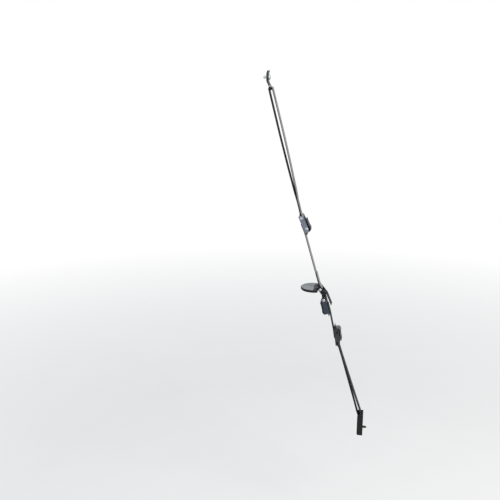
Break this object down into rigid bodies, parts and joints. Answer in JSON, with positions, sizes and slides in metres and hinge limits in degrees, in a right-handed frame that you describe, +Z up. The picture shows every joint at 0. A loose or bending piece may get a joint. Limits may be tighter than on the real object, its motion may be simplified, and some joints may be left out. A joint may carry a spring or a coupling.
{
  "type": "furniture anti tip strap",
  "caption": "Webbing strap with sprung cam buckles that ties a television to the furniture below it and to the wall behind.",
  "frame": {"origin": "on the underside of the plate's pad, at the centre of the round plate", "axes": "+Z up, +X towards the wall, Y across the webbing"},
  "size_m": [0.2415, 0.056, 0.8016],
  "materials": {
    "black_nylon_webbing": "woven nylon webbing, matt with a faint sheen",
    "black_coated_steel": "black powder coat, satin",
    "slate_coated_steel": "slate powder coat, satin",
    "navy_coated_steel": "dark navy powder coat, satin",
    "bright_steel": "bright zinc plated steel",
    "grey_satin_plastic": "moulded grey plastic, satin",
    "foam_pad": "foam tape, matt"
  },
  "bodies": {
    "strap": {"upper_loop_webbing": "black_nylon_webbing", "upper_buckle_frame": "slate_coated_steel", "upper_buckle_loop_pin": "bright_steel", "upper_buckle_cam_pin": "bright_steel", "upper_buckle_spring": "bright_steel", "middle_webbing": "black_nylon_webbing", "furniture_plate": "black_coated_steel", "plate_cover": "grey_satin_plastic", "plate_pad": "foam_pad", "plate_upper_pin": "bright_steel", "plate_lower_pin": "black_coated_steel", "hanger_webbing": "black_nylon_webbing", "plate_buckle_frame": "navy_coated_steel", "plate_buckle_loop_pin": "bright_steel", "plate_buckle_cam_pin": "navy_coated_steel", "plate_buckle_spring": "bright_steel", "lower_webbing": "black_nylon_webbing", "lower_buckle_frame": "black_coated_steel", "lower_buckle_loop_pin": "black_coated_steel", "lower_buckle_cam_pin": "black_coated_steel", "lower_buckle_spring": "bright_steel", "lower_loop_webbing": "black_nylon_webbing"},
    "upper_lever": {"upper_buckle_lever": "black_coated_steel"},
    "plate_lever": {"plate_buckle_lever": "navy_coated_steel"},
    "lower_lever": {"lower_buckle_lever": "black_coated_steel"},
    "tv_end": {"tv_bracket": "black_coated_steel", "tv_screw": "bright_steel", "tv_washer": "bright_steel"},
    "wall_end": {"wall_bracket": "black_coated_steel", "wall_bracket_pin": "black_coated_steel", "wall_screw": "black_coated_steel", "wall_washer": "bright_steel"}
  },
  "joints": [
    {"name": "upper_lever_hinge", "type": "hinge", "parent": "strap", "child": "upper_lever", "pos_m": [-0.01638, 0, 0.13745], "axis": [0, -1, 0], "range_deg": [0, 15], "stiffness_Nm_per_rad": 0.02, "springref_deg": -34.38},
    {"name": "plate_lever_hinge", "type": "hinge", "parent": "strap", "child": "plate_lever", "pos_m": [0.02772, 0, -0.04559], "axis": [0, 1, 0], "range_deg": [0, 15], "stiffness_Nm_per_rad": 0.02, "springref_deg": -34.38},
    {"name": "lower_lever_hinge", "type": "hinge", "parent": "strap", "child": "lower_lever", "pos_m": [0.05564, 0, -0.0934], "axis": [0, 1, 0], "range_deg": [0, 15], "stiffness_Nm_per_rad": 0.02, "springref_deg": -34.38},
    {"name": "tv_bracket_swing", "type": "hinge", "parent": "strap", "child": "tv_end", "pos_m": [-0.0976, 0, 0.427], "axis": [0, 1, 0], "range_deg": [-60, 60]},
    {"name": "wall_bracket_swing", "type": "hinge", "parent": "strap", "child": "wall_end", "pos_m": [0.1124, 0, -0.2942], "axis": [0, 1, 0], "range_deg": [-25, 60]}
  ]
}
